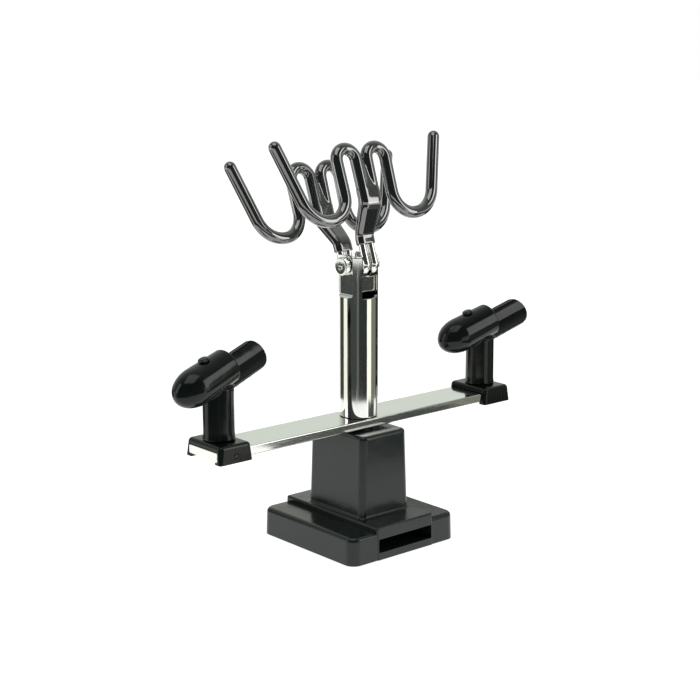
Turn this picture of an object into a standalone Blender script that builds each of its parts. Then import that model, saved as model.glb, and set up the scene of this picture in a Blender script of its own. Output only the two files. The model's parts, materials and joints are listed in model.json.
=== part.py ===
"""Bench hanger stand: weighted base, swivelling crossbar with two sliding
tool holsters, and a tilting pair of coated double hooks on a slotted tube.

Metres, +Z up. The origin is the centre of the base's underside, on the axis
of the tube. +X runs along the crossbar and -Y is the side with the socket.
"""
import math

import bmesh
import bpy
from mathutils import Matrix, Vector

MM = 0.001
GAP = 0.3                      # clearance between neighbouring pieces

# Base (all sizes in millimetres)
BASE_X = 78.0
BASE_Y = 80.0
BASE_RIM_Z = 0.6               # underside of the housing's rim
BASE_TOP_Z = 16.3
RIB_X = 42.0                   # raised rib that runs front to back
RIB_TOP_Z = 19.2
TOWER_FOOT = (36.0, 47.5)
TOWER_HEAD = (33.4, 46.2)
TOWER_TOP_Z = 66.0
SOCKET_X = 39.6                # blind socket in the front face
SOCKET_Z = (4.7, 12.4)
SOCKET_END_Y = -12.0
COVER_Z = (1.5, 3.2)
PAD_TOP_Z = 1.2
COVER_SCREW_XY = (29.0, 31.0)

# Crossbar and its bolt
BAR_LENGTH = 216.0
BAR_WIDTH = 25.6
BAR_Z = (67.3, 72.3)
BOLT_R = 3.0

# Tube
TUBE_R = 11.0
TUBE_BORE_R = 9.2
TUBE_Z = (BAR_Z[1] + GAP, 164.2)
FLAT_X = 9.0                   # flattened sides of the tube's head
FLAT_INNER_X = 7.3
FLAT_BOTTOM_Z = 140.8
SLOT_HALF_X = 5.5              # slots that the wires swing in
SLOT_BOTTOM_Z = 140.3

# Hanger, in its own frame: origin on the clamp screw's axis
PIVOT_Z = 158.6
REST_TILT_DEG = -18.6
WIRE_R = 2.1
WIRE_HALF_PITCH = 2.95
LEG_Y = 10.0
WIRE_LOW_Z = -5.4
COAT_R = 3.5
COAT_END_Z = 9.2
STEM_FOOT = (6.0, 3.05)        # half width and half depth where the bare wires enter
STEM_HEAD = (7.25, 3.6)        # the same where the hooks part
HOOK_ROOT_X = 3.6
WEB_TOP_Z = 55.5
HOOK_Y = 20.9
PEAK_X = (4.0, 17.7)
PEAK_Z = 61.1
HOOK_LOW_Z = 22.4
HOOK_KNEE_X = 43.2
HOOK_TIP = (58.7, 67.7)
SCREW_R = 2.0
SCREW_HEAD_R = 5.2

# Sliders and holsters
SLIDER_X = 97.4
SLIDER_HALF = (10.5, 15.3)
SLIDER_Z = (65.7, 75.6)
POST_R = 8.45
POST_TOP_Z = 104.0
HOLSTER_TILT_DEG = 17.5
HOLSTER_AXIS_Z = 112.0
HOLSTER_TURN_DEG = {"left": 9.0, "right": -6.0}
SLEEVE_R = 10.3                # widest part of the sleeve, behind its nose
MOUTH_R = 9.6
HOLSTER_BORE_R = 6.9
NOSE_S = -31.5                 # stations along the holster's own axis
NOSE_LENGTH = 15.0
MOUTH_S = 7.2
TONGUE_S = 38.6
TONGUE_TAPER_S = 24.5
TONGUE_HALF = 8.8
TONGUE_ARC_R = 12.0
TROUGH_ARC_R = 10.9
TONGUE_ARC_Z = math.sqrt(TONGUE_ARC_R ** 2 - TONGUE_HALF ** 2)
TONGUE_SHIFT = (1.5, -4.9)
TONGUE_ROLL_DEG = 58.0         # the tongue opens upwards and to the front
TONGUE_ROOT_S = 1.0            # inside the post, so the root does not show
BUTTON_S = -7.2
BUTTON_SEAT = 10.4


def clear_scene():
    for item in list(bpy.data.objects):
        bpy.data.objects.remove(item, do_unlink=True)


def make_collection(name, hidden=False):
    collection = bpy.data.collections.new(name)
    bpy.context.scene.collection.children.link(collection)
    collection.hide_render = hidden
    return collection


def make_material(name, color, roughness, metallic=0.0):
    material = bpy.data.materials.new(name)
    material.use_nodes = True
    shader = material.node_tree.nodes["Principled BSDF"]
    shader.inputs["Base Color"].default_value = (*color, 1.0)
    shader.inputs["Roughness"].default_value = roughness
    shader.inputs["Metallic"].default_value = metallic
    material.diffuse_color = (*color, 1.0)
    return material


clear_scene()
PARTS = make_collection("bench_hanger_stand")
CUTTERS = make_collection("cutters", hidden=True)
MATERIALS = {
    "black_plastic": make_material("black_plastic", (0.022, 0.026, 0.025), 0.32),
    "black_holster": make_material("black_holster", (0.018, 0.021, 0.021), 0.18),
    "black_coating": make_material("black_coating", (0.012, 0.013, 0.013), 0.12),
    "chrome": make_material("chrome", (0.80, 0.80, 0.77), 0.06, 1.0),
    "steel": make_material("steel", (0.55, 0.55, 0.54), 0.35, 1.0),
    "ballast_iron": make_material("ballast_iron", (0.18, 0.18, 0.18), 0.6, 1.0),
    "dark_cover": make_material("dark_cover", (0.03, 0.03, 0.03), 0.6),
    "rubber_pad": make_material("rubber_pad", (0.025, 0.025, 0.025), 0.85),
    "nylon": make_material("nylon", (0.75, 0.74, 0.70), 0.5),
}


# ---- building blocks -------------------------------------------------------

def finish_mesh(name, bm, material, collection=None, matrix=None):
    """Turn a bmesh in millimetres into an object in metres."""
    bmesh.ops.scale(bm, vec=(MM, MM, MM), verts=bm.verts)
    bmesh.ops.recalc_face_normals(bm, faces=bm.faces)
    mesh = bpy.data.meshes.new(name)
    bm.to_mesh(mesh)
    bm.free()
    item = bpy.data.objects.new(name, mesh)
    (collection or PARTS).objects.link(item)
    if material:
        mesh.materials.append(MATERIALS[material])
        mesh.shade_smooth()
        mesh.set_sharp_from_angle(angle=math.radians(34))
    if matrix is not None:
        item.matrix_world = matrix
    return item


def rounded_outline(half_x, half_y, radius, steps=4):
    """Corner points of a rounded rectangle, counter-clockwise."""
    points = []
    corners = ((1, 1, 0), (-1, 1, 90), (-1, -1, 180), (1, -1, 270))
    for sign_x, sign_y, start in corners:
        centre_x = sign_x * (half_x - radius)
        centre_y = sign_y * (half_y - radius)
        for step in range(steps + 1):
            angle = math.radians(start + 90.0 * step / steps)
            points.append((centre_x + radius * math.cos(angle), centre_y + radius * math.sin(angle)))
    return points


def loft(bm, rings):
    """Skin a list of equal-length point rings and cap both ends."""
    rows = [[bm.verts.new(point) for point in ring] for ring in rings]
    count = len(rows[0])
    for low, high in zip(rows, rows[1:]):
        for index in range(count):
            following = (index + 1) % count
            bm.faces.new((low[index], low[following], high[following], high[index]))
    bm.faces.new(list(reversed(rows[0])))
    bm.faces.new(rows[-1])


def rounded_block(name, levels, material=None, collection=None, centre=(0.0, 0.0), steps=4):
    """Block from levels of (z, half_x, half_y, corner_radius)."""
    bm = bmesh.new()
    rings = []
    for z, half_x, half_y, radius in levels:
        outline = rounded_outline(half_x, half_y, radius, steps)
        rings.append([(x + centre[0], y + centre[1], z) for x, y in outline])
    loft(bm, rings)
    return finish_mesh(name, bm, material, collection)


def soft_top(low_z, top_z, foot, head, corner, round_r, steps=4):
    """Levels of a tapered block whose top edge is rounded over."""
    levels = [(low_z, foot[0] / 2, foot[1] / 2, corner)]
    for step in range(steps + 1):
        angle = math.radians(90.0 * step / steps)
        inset = round_r * (1 - math.cos(angle))
        level_z = top_z - round_r + round_r * math.sin(angle)
        levels.append((level_z, head[0] / 2 - inset, head[1] / 2 - inset, max(corner - inset, 0.4)))
    return levels


def lathe(name, profile, material=None, collection=None, axis="Z", centre=(0.0, 0.0, 0.0), segments=32):
    """Solid of revolution from (radius, height) pairs; radius 0 closes an end."""
    bm = bmesh.new()
    rows = []
    for radius, height in profile:
        if radius == 0:
            rows.append([bm.verts.new((0, 0, height))])
            continue
        row = []
        for index in range(segments):
            angle = 2 * math.pi * index / segments
            row.append(bm.verts.new((radius * math.cos(angle), radius * math.sin(angle), height)))
        rows.append(row)
    for low, high in zip(rows, rows[1:]):
        for index in range(segments):
            following = (index + 1) % segments
            corners = [low[index % len(low)], low[following % len(low)],
                       high[following % len(high)], high[index % len(high)]]
            unique = []
            for corner in corners:
                if corner not in unique:
                    unique.append(corner)
            bm.faces.new(unique)
    for row in (rows[0], rows[-1]):
        if len(row) > 1:
            bm.faces.new(row)
    if axis == "X":
        bmesh.ops.rotate(bm, verts=bm.verts, matrix=Matrix.Rotation(math.radians(90), 3, "Y"))
    if axis == "Y":
        bmesh.ops.rotate(bm, verts=bm.verts, matrix=Matrix.Rotation(math.radians(-90), 3, "X"))
    bmesh.ops.translate(bm, verts=bm.verts, vec=centre)
    return finish_mesh(name, bm, material, collection)


def rod(name, radius, low, high, material=None, collection=None, axis="Z", centre=(0.0, 0.0), segments=24):
    """Plain round rod between two heights along X, Y or Z."""
    if axis == "X":
        place = (0.0, centre[0], centre[1])
    elif axis == "Y":
        place = (centre[0], 0.0, centre[1])
    else:
        place = (centre[0], centre[1], 0.0)
    return lathe(name, [(radius, low), (radius, high)], material, collection, axis, place, segments)


def box(name, low, high, material=None, collection=None, bevel=0.0, segments=2):
    bm = bmesh.new()
    bmesh.ops.create_cube(bm, size=1.0)
    size = [high[i] - low[i] for i in range(3)]
    middle = [(high[i] + low[i]) / 2 for i in range(3)]
    bmesh.ops.scale(bm, vec=size, verts=bm.verts)
    bmesh.ops.translate(bm, vec=middle, verts=bm.verts)
    item = finish_mesh(name, bm, material, collection)
    if bevel:
        edge = item.modifiers.new("edge", "BEVEL")
        edge.width = bevel * MM
        edge.segments = segments
        edge.limit_method = "ANGLE"
    return item


def combine(target, other, operation):
    """Boolean the other object into the target with the exact solver."""
    tool = target.modifiers.new(operation.lower() + "_" + other.name, "BOOLEAN")
    tool.operation = operation
    tool.solver = "EXACT"
    tool.object = other
    other.display_type = "WIRE"
    other.hide_render = True
    return target


def cut(target, *tools):
    for tool in tools:
        combine(target, tool, "DIFFERENCE")
    return target


def add(target, *tools):
    for tool in tools:
        combine(target, tool, "UNION")
    return target


# ---- base ------------------------------------------------------------------

def build_base_housing():
    plate_levels = soft_top(BASE_RIM_Z, BASE_TOP_Z, (BASE_X, BASE_Y), (BASE_X - 0.6, BASE_Y - 0.6), 4.0, 2.4)
    housing = rounded_block("base_housing", plate_levels, "black_plastic")
    rib_levels = soft_top(BASE_RIM_Z, RIB_TOP_Z, (RIB_X + 0.4, BASE_Y + 0.8), (RIB_X, BASE_Y), 1.4, 1.2, 3)
    rib = rounded_block("rib_block", rib_levels, collection=CUTTERS)
    tower_levels = [
        (RIB_TOP_Z - 6.0, TOWER_FOOT[0] / 2, TOWER_FOOT[1] / 2, 4.0),
        (RIB_TOP_Z, TOWER_FOOT[0] / 2 + 1.0, TOWER_FOOT[1] / 2 + 1.0, 5.0),
        (RIB_TOP_Z + 1.0, TOWER_FOOT[0] / 2, TOWER_FOOT[1] / 2, 4.0),
    ]
    tower_levels += soft_top(0.0, TOWER_TOP_Z, TOWER_FOOT, TOWER_HEAD, 4.0, 2.0)[1:]
    tower = rounded_block("tower_block", tower_levels, collection=CUTTERS)
    add(housing, rib, tower)

    cover_recess = rounded_block("cover_recess", [(-2.0, 36.5, 37.5, 2.0), (COVER_Z[1] + GAP, 36.5, 37.5, 2.0)],
                                 collection=CUTTERS)
    pocket_left = box("pocket_left", (-36.0, -37.0, 2.0), (-21.7, 37.0, 13.4), collection=CUTTERS)
    pocket_right = box("pocket_right", (21.7, -37.0, 2.0), (36.0, 37.0, 13.4), collection=CUTTERS)
    rear_pocket = box("rear_pocket", (-19.2, SOCKET_END_Y + 1.6, 2.0), (19.2, 37.0, 16.6), collection=CUTTERS)
    tower_bore = box("tower_bore", (-14.2, -20.2, 14.4), (14.2, 20.2, 61.4), collection=CUTTERS)
    socket = box("socket", (-SOCKET_X / 2, -45.0, SOCKET_Z[0]), (SOCKET_X / 2, SOCKET_END_Y, SOCKET_Z[1]),
                 collection=CUTTERS)
    bolt_hole = rod("bolt_hole", BOLT_R + GAP, 55.0, 70.0, collection=CUTTERS)
    cut(housing, cover_recess, pocket_left, pocket_right, rear_pocket, tower_bore, socket, bolt_hole)
    for index, (x, y) in enumerate(screw_places()):
        boss = rod(f"boss_{index}", 3.2, COVER_Z[1] + GAP, 14.5, collection=CUTTERS, centre=(x, y))
        hole = rod(f"boss_hole_{index}", 1.4, 0.0, 11.5, collection=CUTTERS, centre=(x, y), segments=16)
        add(housing, boss)
        cut(housing, hole)
    return housing


def screw_places():
    x, y = COVER_SCREW_XY
    return ((-x, -y), (x, -y), (x, y), (-x, y))


def build_underside():
    cover_levels = [(COVER_Z[0], 36.2, 37.2, 1.8), (COVER_Z[1], 36.2, 37.2, 1.8)]
    cover = rounded_block("bottom_cover", cover_levels, "dark_cover")
    for index, (x, y) in enumerate(screw_places()):
        hole_profile = [(3.0, 1.0), (2.9, 1.5), (1.5, 2.9), (1.5, 4.0)]
        hole = lathe(f"cover_hole_{index}", hole_profile, collection=CUTTERS, centre=(x, y, 0.0), segments=20)
        cut(cover, hole)
        screw_profile = [(2.4, 1.55), (2.5, 1.7), (1.1, 3.1), (1.1, 9.6), (0.6, 10.4)]
        lathe(f"cover_screw_{index + 1}", screw_profile, "steel", centre=(x, y, 0.0), segments=20)
    pad_levels = [(0.0, 35.8, 36.8, 1.5), (PAD_TOP_Z, 36.0, 37.0, 1.6)]
    rounded_block("base_pad", pad_levels, "rubber_pad")
    for side, sign in (("left", -1), ("right", 1)):
        low_x, high_x = sorted((sign * 22.6, sign * 35.2))
        box(f"ballast_{side}", (low_x, -26.6, 3.6), (high_x, 26.6, 12.9), "ballast_iron", bevel=0.6)


# ---- crossbar, bolt and tube -----------------------------------------------

def build_crossbar():
    half = BAR_LENGTH / 2
    width = BAR_WIDTH / 2
    bar = box("crossbar", (-half, -width, BAR_Z[0]), (half, width, BAR_Z[1]), "chrome", bevel=0.7, segments=3)
    cut(bar, rod("bar_hole", BOLT_R + GAP, 60.0, 80.0, collection=CUTTERS))
    bar_washer = rod("bar_washer", 8.5, TOWER_TOP_Z + GAP, BAR_Z[0] - GAP, "steel")
    cut(bar_washer, rod("washer_hole", BOLT_R + GAP, 60.0, 70.0, collection=CUTTERS))


def build_bolt():
    bolt_profile = [(4.6, 55.2), (5.4, 55.8), (5.4, 59.5), (BOLT_R, 59.5), (BOLT_R, 85.0), (BOLT_R - 0.7, 86.0)]
    lathe("bar_bolt", bolt_profile, "steel")
    washer = rod("bolt_washer", 7.5, 59.9, 61.1, "steel")
    cut(washer, rod("bolt_washer_hole", BOLT_R + GAP, 58.0, 64.0, collection=CUTTERS))
    plug = lathe("post_plug", [(8.4, TUBE_Z[0]), (8.8, 73.0), (8.8, 92.6), (8.4, 93.0)], "steel")
    cut(plug, rod("plug_hole", BOLT_R + GAP, 70.0, 89.0, collection=CUTTERS))


def build_post_tube():
    profile = [(TUBE_R - 0.3, TUBE_Z[0]), (TUBE_R, TUBE_Z[0] + 0.3), (TUBE_R, TUBE_Z[1] - 1.0),
               (TUBE_R - 0.3, TUBE_Z[1] - 0.3), (TUBE_R - 0.9, TUBE_Z[1])]
    tube = lathe("post_tube", profile, "chrome", segments=48)
    low_bore = rod("low_bore", TUBE_BORE_R, 70.0, 139.2, collection=CUTTERS, segments=48)
    bm = bmesh.new()
    rings = []
    for z in (139.0, 170.0):
        ring = []
        for index in range(48):
            angle = 2 * math.pi * index / 48
            x = max(-FLAT_INNER_X, min(FLAT_INNER_X, TUBE_BORE_R * math.cos(angle)))
            ring.append((x, TUBE_BORE_R * math.sin(angle), z))
        rings.append(ring)
    loft(bm, rings)
    head_bore = finish_mesh("head_bore", bm, None, CUTTERS)
    cut(tube, low_bore, head_bore)
    for side, sign in (("left", -1), ("right", 1)):
        low_x, high_x = sorted((sign * FLAT_X, sign * 14.0))
        side_flat = box(f"side_flat_{side}", (low_x, -6.9, FLAT_BOTTOM_Z), (high_x, 6.9, 172.0),
                        collection=CUTTERS, bevel=2.0, segments=3)
        cut(tube, side_flat)
    slot = box("wire_slot", (-SLOT_HALF_X, -14.0, SLOT_BOTTOM_Z), (SLOT_HALF_X, 14.0, 175.0),
               collection=CUTTERS, bevel=1.5, segments=3)
    screw_hole = rod("screw_hole", SCREW_R + GAP, -14.0, 14.0, collection=CUTTERS, axis="X",
                     centre=(0.0, PIVOT_Z), segments=20)
    cut(tube, slot, screw_hole)


# ---- clamp screw -----------------------------------------------------------

def build_clamp_screw():
    head_x = (-FLAT_X - GAP - 4.0, -FLAT_X - GAP)
    bm = bmesh.new()
    teeth = 22
    rings = []
    for x, scale in ((head_x[0], 0.86), (head_x[0] + 0.6, 1.0), (head_x[1] - 0.5, 1.0), (head_x[1], 0.9)):
        ring = []
        for index in range(teeth * 2):
            angle = math.pi * index / teeth
            radius = scale * (SCREW_HEAD_R - 0.35 * (index % 2))
            ring.append((x, radius * math.cos(angle), PIVOT_Z + radius * math.sin(angle)))
        rings.append(ring)
    loft(bm, rings)
    bmesh.ops.translate(bm, verts=bm.verts, vec=(0, 0, -PIVOT_Z))
    screw = finish_mesh("clamp_screw", bm, "chrome")
    screw.location = (0, 0, PIVOT_Z * MM)
    shank = rod("screw_shank", SCREW_R, head_x[1] - 1.0, 14.6, collection=CUTTERS, axis="X",
                centre=(0.0, PIVOT_Z), segments=20)
    recess = rod("screw_recess", 2.0, head_x[0] - 2.0, head_x[0] + 2.0, collection=CUTTERS, axis="X",
                 centre=(0.0, PIVOT_Z), segments=6)
    add(screw, shank)
    cut(screw, recess)
    nut_profile = [(4.2, FLAT_X + GAP), (4.7, FLAT_X + 0.8), (4.7, FLAT_X + 3.2), (4.2, FLAT_X + 3.7)]
    nut = lathe("clamp_nut", nut_profile, "chrome", axis="X", centre=(0.0, 0.0, PIVOT_Z), segments=6)
    cut(nut, rod("nut_hole", SCREW_R + GAP, 5.0, 16.0, collection=CUTTERS, axis="X",
                 centre=(0.0, PIVOT_Z), segments=20))
    for side, sign in (("left", -1), ("right", 1)):
        low_x, high_x = sorted((sign * 5.4, sign * 7.0))
        washer = rod(f"friction_washer_{side}", 5.5, low_x, high_x, "nylon", axis="X", centre=(0.0, PIVOT_Z))
        cut(washer, rod(f"friction_hole_{side}", SCREW_R + GAP, low_x - 2, high_x + 2, collection=CUTTERS,
                        axis="X", centre=(0.0, PIVOT_Z), segments=20))


# ---- hanger ----------------------------------------------------------------

def rounded_path(corners, step_deg=15.0):
    """Points along straight runs joined by arcs; corners are (point, radius)."""
    points = [Vector(corners[0][0])]
    for before, (corner, radius), after in zip(corners, corners[1:], corners[2:]):
        corner = Vector(corner)
        incoming = (Vector(before[0]) - corner).normalized()
        outgoing = (Vector(after[0]) - corner).normalized()
        half_angle = incoming.angle(outgoing) / 2
        setback = radius / math.tan(half_angle)
        centre = corner + (incoming + outgoing).normalized() * (radius / math.sin(half_angle))
        start = corner + incoming * setback - centre
        turn = math.pi - 2 * half_angle
        normal = start.cross(corner + outgoing * setback - centre).normalized()
        steps = max(2, math.ceil(math.degrees(turn) / step_deg))
        for step in range(steps + 1):
            points.append(centre + Matrix.Rotation(turn * step / steps, 3, normal) @ start)
    points.append(Vector(corners[-1][0]))
    return points


def wire_body(name, points, radius, material, collection, matrix, round_end=False):
    """Round bar along a path, as a closed mesh."""
    radii = [1.0] * len(points)
    if round_end:
        direction = (points[-1] - points[-2]).normalized()
        tip = points[-1]
        points = points[:-1]
        radii = radii[:-1]
        for angle in (0, 30, 55, 75):
            points.append(tip + direction * radius * (math.sin(math.radians(angle)) - 1))
            radii.append(math.cos(math.radians(angle)))
    curve = bpy.data.curves.new(name, "CURVE")
    curve.dimensions = "3D"
    curve.bevel_depth = radius * MM
    curve.bevel_resolution = 2
    curve.use_fill_caps = True
    curve.twist_mode = "MINIMUM"
    spline = curve.splines.new("POLY")
    spline.points.add(len(points) - 1)
    for slot, point, scale in zip(spline.points, points, radii):
        slot.co = (*(point * MM), 1.0)
        slot.radius = scale
    curve_item = bpy.data.objects.new(name + "_path", curve)
    collection.objects.link(curve_item)
    bpy.context.view_layer.update()
    evaluated = curve_item.evaluated_get(bpy.context.evaluated_depsgraph_get())
    mesh = bpy.data.meshes.new_from_object(evaluated)
    bpy.data.objects.remove(curve_item, do_unlink=True)
    bm = bmesh.new()
    bm.from_mesh(mesh)
    bmesh.ops.remove_doubles(bm, verts=bm.verts, dist=0.00001)
    bmesh.ops.recalc_face_normals(bm, faces=bm.faces)
    bm.to_mesh(mesh)
    bm.free()
    mesh.name = name
    mesh.materials.clear()
    item = bpy.data.objects.new(name, mesh)
    collection.objects.link(item)
    if material:
        mesh.materials.append(MATERIALS[material])
        mesh.shade_smooth()
        mesh.set_sharp_from_angle(angle=math.radians(40))
    item.matrix_world = matrix
    return item


def hook_path(side, face):
    """Centre line of one hook, from inside the shared stem to its tip."""
    hook_y = face * HOOK_Y
    corners = [
        ((side * HOOK_ROOT_X, hook_y, 35.0), 0),
        ((side * PEAK_X[0], hook_y, PEAK_Z), 6.8),
        ((side * PEAK_X[1], hook_y, PEAK_Z), 6.8),
        ((side * (PEAK_X[1] - 0.7), hook_y, HOOK_LOW_Z), 13.0),
        ((side * HOOK_KNEE_X, hook_y, HOOK_LOW_Z), 17.0),
        ((side * HOOK_TIP[0], hook_y, HOOK_TIP[1]), 0),
    ]
    return rounded_path(corners)


def twin_stem(name, face, matrix):
    """Flat stem in which two coated wires are fused; it narrows to the web between the peaks."""
    corners = [
        ((0, face * LEG_Y, COAT_END_Z), 0),
        ((0, face * LEG_Y, 14.6), 8.0),
        ((0, face * HOOK_Y, 30.6), 8.0),
        ((0, face * HOOK_Y, 38.0), 0),
    ]
    stations = []
    for point in rounded_path(corners):
        share = min(max((point.z - 15.0) / 15.0, 0.0), 1.0)
        stations.append((point, *(low + (high - low) * share for low, high in zip(STEM_FOOT, STEM_HEAD))))
    for z, half_width, half_depth in ((44.0, 5.0, 2.7), (51.0, 3.1, 1.9), (WEB_TOP_Z, 1.9, 1.1)):
        stations.append((Vector((0, face * HOOK_Y, z)), half_width, half_depth))
    bm = bmesh.new()
    rings = []
    for index, (point, half_width, half_depth) in enumerate(stations):
        before = stations[max(index - 1, 0)][0]
        after = stations[min(index + 1, len(stations) - 1)][0]
        depth_axis = (after - before).normalized().cross(Vector((1, 0, 0)))
        outline = rounded_outline(half_width, half_depth, half_depth * 0.96, 4)
        rings.append([point + Vector((u, 0, 0)) + depth_axis * v for u, v in outline])
    loft(bm, rings)
    item = finish_mesh(name, bm, "black_coating")
    item.matrix_world = matrix
    return item


def build_hanger():
    frame = Matrix.Translation((0, 0, PIVOT_Z * MM)) @ Matrix.Rotation(math.radians(REST_TILT_DEG), 4, "X")
    for label, face in (("front", -1), ("rear", 1)):
        coat = twin_stem(f"{label}_hook_coat", face, frame)
        for side in (-1, 1):
            hook = wire_body(f"{label}_hook_{side}", hook_path(side, face), COAT_R, None, CUTTERS, frame, True)
            add(coat, hook)
        for side in (-1, 1):
            socket = rod(f"{label}_socket_{side}", WIRE_R + GAP, 5.0, 15.2, collection=CUTTERS,
                         centre=(side * WIRE_HALF_PITCH, face * LEG_Y), segments=16)
            socket.matrix_world = frame
            cut(coat, socket)
    for label, side in (("left", -1), ("right", 1)):
        x = side * WIRE_HALF_PITCH
        corners = [
            ((x, -LEG_Y, 14.8), 0),
            ((x, -LEG_Y, WIRE_LOW_Z), 4.5),
            ((x, LEG_Y, WIRE_LOW_Z), 4.5),
            ((x, LEG_Y, 14.8), 0),
        ]
        wire_body(f"hanger_wire_{label}", rounded_path(corners, 18.0), WIRE_R, "chrome", PARTS, frame)


# ---- sliders and holsters --------------------------------------------------

def build_slider(label, x, turned):
    """Saddle block on the bar; the right one is the same moulding turned round."""
    half_x, half_y = SLIDER_HALF
    levels = [(SLIDER_Z[0], half_x + 0.3, half_y + 0.3, 1.8)]
    levels += soft_top(0.0, SLIDER_Z[1], (0, 0), (2 * half_x - 0.4, 2 * half_y - 0.4), 2.6, 2.2)[1:]
    place = Matrix.Translation((x * MM, 0, 0)) @ Matrix.Rotation(math.pi if turned else 0.0, 4, "Z")
    block = rounded_block(f"slider_block_{label}", levels, "black_plastic")
    block.matrix_world = place
    half_bar = BAR_WIDTH / 2 + GAP
    tools = [
        box(f"bar_way_{label}", (-20, -half_bar, BAR_Z[0] - GAP), (20, half_bar, BAR_Z[1] + GAP),
            collection=CUTTERS),
        box(f"lip_way_{label}", (-21, -half_bar + 2.3, 60.0), (21, half_bar - 2.3, BAR_Z[0] + 1.0),
            collection=CUTTERS),
        lathe(f"screw_way_{label}", [(4.4, 71.0), (4.4, 72.8), (2.3, 74.7), (2.3, 78.0)], collection=CUTTERS),
        rod(f"brake_way_{label}", 1.5, -17.0, -12.0, collection=CUTTERS, axis="Y", centre=(0.0, 69.6),
            segments=16),
    ]
    for index in range(7):
        groove_x = (index - 3) * 2.4
        tools.append(box(f"grip_{label}_{index}", (groove_x - 0.45, 15.0, 60.0), (groove_x + 0.45, 17.0, 73.2),
                         collection=CUTTERS))
    for tool in tools:
        tool.matrix_world = place
    cut(block, *tools)
    brake = rod(f"slider_brake_{label}", 1.2, -15.5, -13.1, "nylon", axis="Y", centre=(0.0, 69.6), segments=16)
    brake.matrix_world = place
    screw_profile = [(4.0, 72.6), (4.0, 72.85), (SCREW_R, 74.7), (SCREW_R, 88.0), (1.4, 88.6)]
    screw = lathe(f"pivot_screw_{label}", screw_profile, "steel", segments=20)
    screw.matrix_world = place


def sleeve_rings():
    """Rings of the closed sleeve: long blunt nose, body that narrows to a rounded mouth."""
    body_s = NOSE_S + NOSE_LENGTH
    stations = []
    for angle_deg in (80, 70, 60, 50, 40, 30, 20, 10):
        angle = math.radians(angle_deg)
        stations.append((body_s - NOSE_LENGTH * math.sin(angle), SLEEVE_R * math.cos(angle)))
    stations += [(body_s, SLEEVE_R), (MOUTH_S - 1.0, MOUTH_R + 0.1), (MOUTH_S - 0.3, MOUTH_R - 0.2),
                 (MOUTH_S, MOUTH_R - 0.8)]
    rings = []
    for s, radius in stations:
        ring = []
        for index in range(28):
            angle = 2 * math.pi * index / 28
            ring.append((s, radius * math.cos(angle), radius * math.sin(angle)))
        rings.append(ring)
    return rings


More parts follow.
